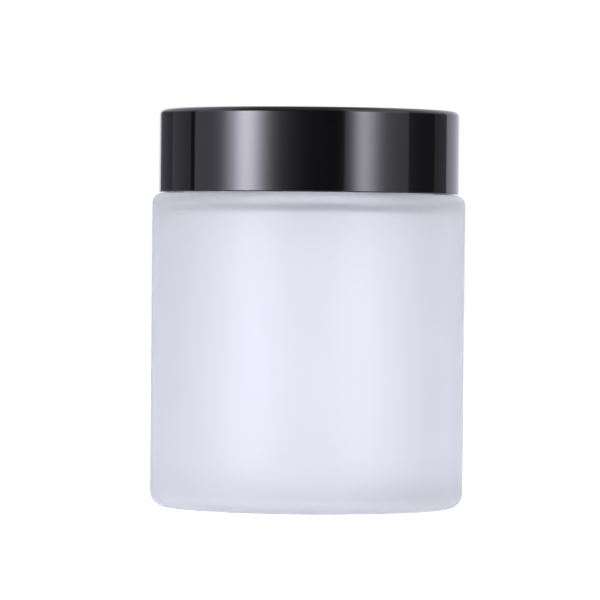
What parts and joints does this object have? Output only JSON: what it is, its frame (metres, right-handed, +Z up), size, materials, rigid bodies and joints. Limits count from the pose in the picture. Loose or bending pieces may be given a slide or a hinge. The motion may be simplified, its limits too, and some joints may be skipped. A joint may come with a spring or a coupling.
{
  "type": "cosmetic cream jar",
  "caption": "Straight-sided frosted glass cream jar with a glossy black double-wall screw lid, a foam wad and a white sealing disc with a pull tab.",
  "frame": {"origin": "centre of the foot ring, on the surface that the jar stands on", "axes": "+Z up along the jar's axis, -Y towards the front; the sealing disc's pull tab is rooted at -Y"},
  "size_m": [0.06, 0.06, 0.076],
  "materials": {
    "frosted_glass": "clear thick glass, acid-frosted satin on the outside, fire-polished inside",
    "disc_plastic": "milky white polyethylene, fine satin",
    "wad_foam": "white closed-cell polyethylene foam sheet",
    "insert_plastic": "natural white polypropylene, satin",
    "shell_plastic": "polished black, mirror gloss"
  },
  "bodies": {
    "jar": {"glass_jar": "frosted_glass"},
    "disc": {"sealing_disc": "disc_plastic"},
    "gasket": {"cap_gasket": "wad_foam"},
    "cap": {"cap_insert": "insert_plastic", "cap_shell": "shell_plastic"}
  },
  "joints": [
    {"name": "lid_lift", "type": "slide", "parent": "jar", "child": "disc", "axis": [0, 0, 1], "range_m": [0, 0.06]},
    {"name": "cap_rise", "type": "slide", "parent": "disc", "child": "gasket", "axis": [0, 0, 1], "range_m": [0, 0.0044]},
    {"name": "cap_twist", "type": "hinge", "parent": "gasket", "child": "cap", "pos_m": [0, 0, 0.073], "axis": [0, 0, 1], "range_deg": [0, 390]}
  ],
  "couplings": [
    {"joint": "cap_rise", "follows": "cap_twist", "m_per_rad": 0.00063662}
  ]
}
